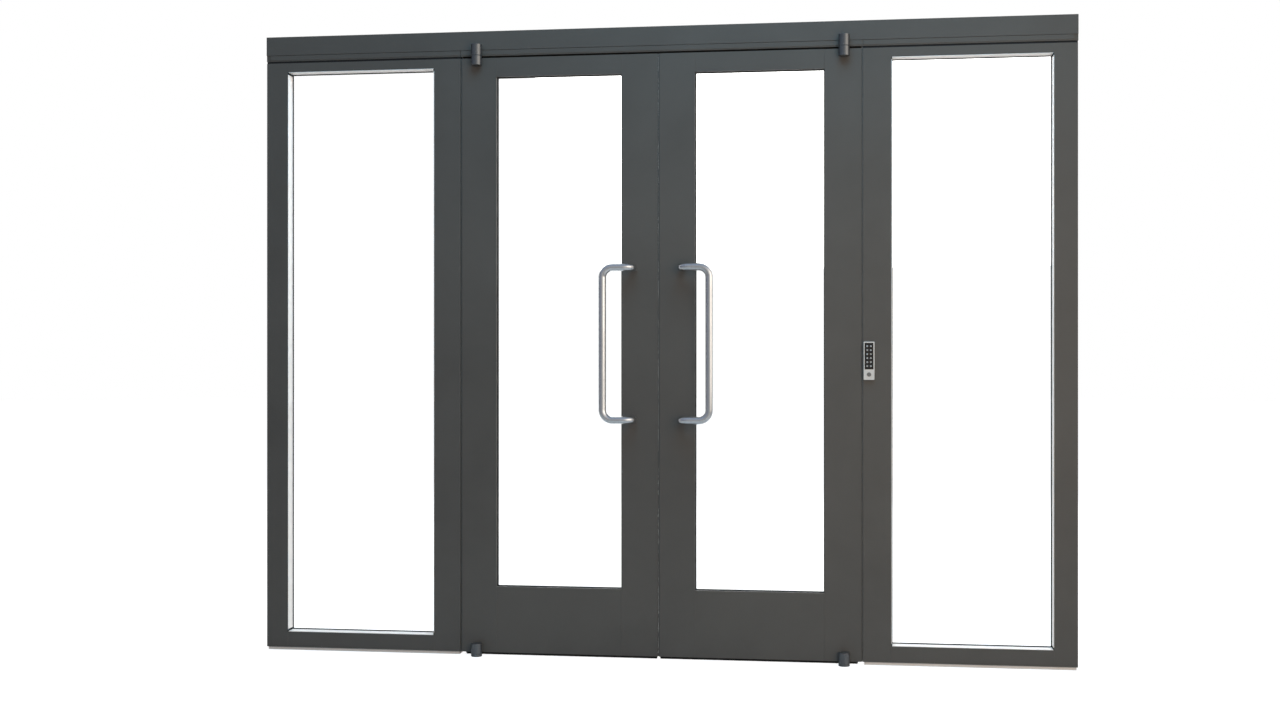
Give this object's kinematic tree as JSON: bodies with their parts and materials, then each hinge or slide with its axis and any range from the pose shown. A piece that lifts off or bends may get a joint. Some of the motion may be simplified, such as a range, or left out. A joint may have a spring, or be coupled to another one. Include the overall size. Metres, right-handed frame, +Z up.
{
  "type": "storefront door",
  "caption": "Aluminium storefront entrance: a pair of glazed swing doors on offset pivots with tubular pulls, between fixed sidelights under one head, with a keypad.",
  "frame": {"origin": "on the floor, under the left jamb's centreline and the middle of the frame's depth, on the underside of the left sub-sill", "axes": "+X to the right along the front, +Y from the front to the rear, +Z up"},
  "size_m": [3.24, 0.164, 2.512],
  "materials": {
    "dark_paint": "matte dark grey powder coat",
    "pale_paint": "satin off-white",
    "black_seal": "matte black",
    "black_sweep": "matte near-black",
    "pivot_paint": "semi-gloss dark grey",
    "satin_steel": "satin",
    "sidelight_glass": "clear",
    "door_glass": "clear",
    "silver_case": "satin silver",
    "black_panel": "gloss black",
    "key_caps": "pale grey, backlit caps"
  },
  "bodies": {
    "frame": {"head": "dark_paint", "head_cover": "dark_paint", "head_seals": "black_seal", "subsills": "pale_paint", "left_jamb": "dark_paint", "left_mullion": "dark_paint", "left_sidelight_top_rail": "dark_paint", "left_sidelight_sill": "dark_paint", "left_sidelight_glass": "sidelight_glass", "left_sidelight_gasket": "black_seal", "left_sidelight_lining": "pale_paint", "right_jamb": "dark_paint", "right_mullion": "dark_paint", "right_sidelight_top_rail": "dark_paint", "right_sidelight_sill": "dark_paint", "right_sidelight_glass": "sidelight_glass", "right_sidelight_gasket": "black_seal", "right_sidelight_lining": "pale_paint", "top_pivots": "pivot_paint", "floor_pivots": "pivot_paint", "keypad_case": "silver_case", "keypad_panel": "black_panel", "keypad_keys": "key_caps", "keypad_button": "silver_case"},
    "left_door": {"left_hinge_stile": "dark_paint", "left_meeting_stile": "dark_paint", "left_top_rail": "dark_paint", "left_bottom_rail": "dark_paint", "left_door_glass": "door_glass", "left_door_gasket": "black_seal", "left_sweep": "black_sweep", "left_edge_seals": "black_seal", "left_pivot_barrels": "pivot_paint", "left_pull": "satin_steel"},
    "right_door": {"right_hinge_stile": "dark_paint", "right_meeting_stile": "dark_paint", "right_top_rail": "dark_paint", "right_bottom_rail": "dark_paint", "right_door_glass": "door_glass", "right_door_gasket": "black_seal", "right_sweep": "black_sweep", "right_edge_seals": "black_seal", "right_pivot_barrels": "pivot_paint", "right_pull": "satin_steel"}
  },
  "joints": [
    {"name": "left_door_swing", "type": "hinge", "parent": "frame", "child": "left_door", "pos_m": [0.8425, -0.058, 0.05], "axis": [0, 0, -1], "range_deg": [0, 90]},
    {"name": "right_door_swing", "type": "hinge", "parent": "frame", "child": "right_door", "pos_m": [2.3045, -0.058, 0.05], "axis": [0, 0, 1], "range_deg": [0, 90]}
  ]
}
